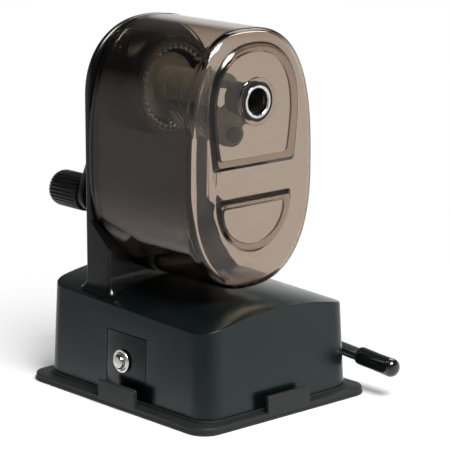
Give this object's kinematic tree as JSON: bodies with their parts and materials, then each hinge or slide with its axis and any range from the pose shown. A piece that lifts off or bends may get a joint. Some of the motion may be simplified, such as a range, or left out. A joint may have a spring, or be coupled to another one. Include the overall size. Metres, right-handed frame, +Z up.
{
  "type": "pencil sharpener",
  "caption": "Hand-cranked pencil sharpener with a smoke-tinted pull-off receptacle, on a housing whose side lever draws up a rubber vacuum pad.",
  "frame": {"origin": "under the middle of the whole object's bounding box, at the height of the table it stands on", "axes": "+Z up, -Y towards the side the pencil goes in, +X towards the side the vacuum lever comes out of, +Y towards the crank"},
  "size_m": [0.0948, 0.1336, 0.15],
  "materials": {
    "housing_plastic": "satin charcoal moulding",
    "column_plastic": "satin charcoal moulding",
    "pad_rubber": "matt dark rubber",
    "smoke_plastic": "polished smoke-tinted clear moulding",
    "frosted_plastic": "grey moulding with a frosted skin",
    "black_plastic": "black moulding, low sheen",
    "vinyl": "glossy dipped vinyl",
    "bright_steel": "bright nickel-plated steel",
    "cutter_steel": "ground tool steel",
    "gear_grey": "grey moulded gear plastic"
  },
  "bodies": {
    "stand": {"base_housing": "housing_plastic", "side_panel_left": "housing_plastic", "side_panel_right": "housing_plastic", "pad_rim": "pad_rubber", "pad_diaphragm": "pad_rubber", "column": "column_plastic", "column_screw_left": "bright_steel", "column_screw_right": "bright_steel", "ring_gear": "gear_grey", "shaft_bearing": "black_plastic"},
    "cup": {"receptacle": "smoke_plastic", "guide_sleeve": "black_plastic", "guide_lip": "bright_steel"},
    "crank": {"crank_shaft": "bright_steel", "carrier_cradle": "frosted_plastic", "carrier_plate": "frosted_plastic", "cutter_pin": "bright_steel", "pin_cap": "black_plastic", "crank_arm": "black_plastic", "crank_nut": "bright_steel", "knob_rivet": "bright_steel"},
    "knob": {"crank_knob": "black_plastic"},
    "milling_cutter": {"cutter": "cutter_steel", "cutter_pinion": "cutter_steel"},
    "lever": {"lever_rod": "bright_steel", "lever_cap": "vinyl", "push_nut": "bright_steel", "lever_washer": "bright_steel", "lift_cam": "black_plastic"},
    "lift": {"lift_yoke": "black_plastic", "lift_plate": "bright_steel"}
  },
  "joints": [
    {"name": "receptacle_pull", "type": "slide", "parent": "stand", "child": "cup", "axis": [0, -1, 0], "range_m": [0, 0.062]},
    {"name": "crank_turn", "type": "hinge", "parent": "stand", "child": "crank", "pos_m": [-0.002, 0.00199, 0.1219], "axis": [0, 1, 0], "continuous": true},
    {"name": "knob_spin", "type": "hinge", "parent": "crank", "child": "knob", "pos_m": [-0.02117, 0.05699, 0.07561], "axis": [0, 1, 0], "continuous": true},
    {"name": "cutter_spin", "type": "hinge", "parent": "crank", "child": "milling_cutter", "pos_m": [0.00017, 0.0121, 0.11381], "axis": [-0.067, 0.9659, 0.25], "continuous": true},
    {"name": "lever_swing", "type": "hinge", "parent": "stand", "child": "lever", "pos_m": [-0.002, 0.00199, 0.0178], "axis": [-1, 0, 0], "range_deg": [0, 120]},
    {"name": "pad_lift", "type": "slide", "parent": "stand", "child": "lift", "axis": [0, 0, 1], "range_m": [-0.00435, 0], "deforming": ["pad_diaphragm"]}
  ],
  "couplings": [
    {"joint": "cutter_spin", "follows": "crank_turn", "ratio": -2},
    {"joint": "pad_lift", "follows": "lever_swing", "m_per_rad": -0.0020674}
  ]
}
